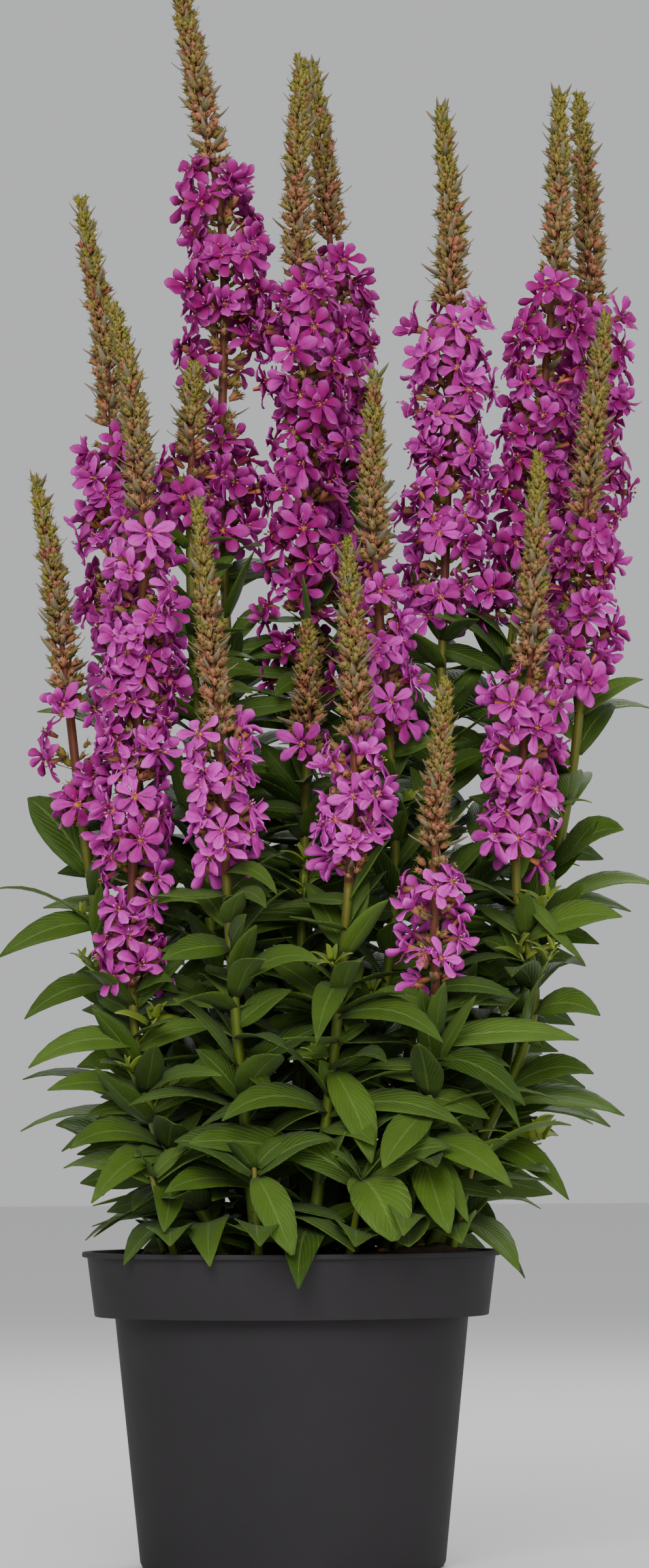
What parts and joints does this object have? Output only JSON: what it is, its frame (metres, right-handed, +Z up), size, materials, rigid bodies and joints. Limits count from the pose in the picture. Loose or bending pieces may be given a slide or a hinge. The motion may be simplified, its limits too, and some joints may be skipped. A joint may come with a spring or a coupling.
{
  "type": "potted purple loosestrife",
  "caption": "Flowering perennial in a round black nursery pot: upright leafy stems with tall spikes of magenta-purple flowers under green bud tips.",
  "frame": {"origin": "centre of the pot's flat underside, on the surface that it stands on", "axes": "+Z up along the pot's axis and the stems; the front of the plant looks along -Y"},
  "size_m": [0.3022, 0.2386, 0.7442],
  "materials": {
    "pot_plastic": "matte",
    "soil": "rough, granular",
    "leaf": "soft satin, veined",
    "petal": "soft, crinkled",
    "bud": "dull, downy"
  },
  "bodies": {
    "root": {"pot": "pot_plastic", "soil": "soil", "stem_01_leafy": "leaf", "stem_01_flowers": "petal", "stem_01_buds": "bud", "stem_02_leafy": "leaf", "stem_02_flowers": "petal", "stem_02_buds": "bud", "stem_03_leafy": "leaf", "stem_03_flowers": "petal", "stem_03_buds": "bud", "stem_04_leafy": "leaf", "stem_04_flowers": "petal", "stem_04_buds": "bud", "stem_05_leafy": "leaf", "stem_05_flowers": "petal", "stem_05_buds": "bud", "stem_06_leafy": "leaf", "stem_06_flowers": "petal", "stem_06_buds": "bud", "stem_07_leafy": "leaf", "stem_07_flowers": "petal", "stem_07_buds": "bud", "stem_08_leafy": "leaf", "stem_08_flowers": "petal", "stem_08_buds": "bud", "stem_09_leafy": "leaf", "stem_09_flowers": "petal", "stem_09_buds": "bud", "stem_10_leafy": "leaf", "stem_10_flowers": "petal", "stem_10_buds": "bud", "stem_11_leafy": "leaf", "stem_11_flowers": "petal", "stem_11_buds": "bud", "stem_12_leafy": "leaf", "stem_12_flowers": "petal", "stem_12_buds": "bud", "stem_13_leafy": "leaf", "stem_13_flowers": "petal", "stem_13_buds": "bud", "stem_14_leafy": "leaf", "stem_14_flowers": "petal", "stem_14_buds": "bud", "stem_15_leafy": "leaf", "stem_15_flowers": "petal", "stem_15_buds": "bud", "stem_16_leafy": "leaf", "stem_16_flowers": "petal", "stem_16_buds": "bud", "stem_17_leafy": "leaf", "stem_17_flowers": "petal", "stem_17_buds": "bud", "shoot_01": "leaf", "shoot_02": "leaf", "shoot_03": "leaf", "shoot_04": "leaf", "shoot_05": "leaf", "shoot_06": "leaf"}
  },
  "joints": []
}
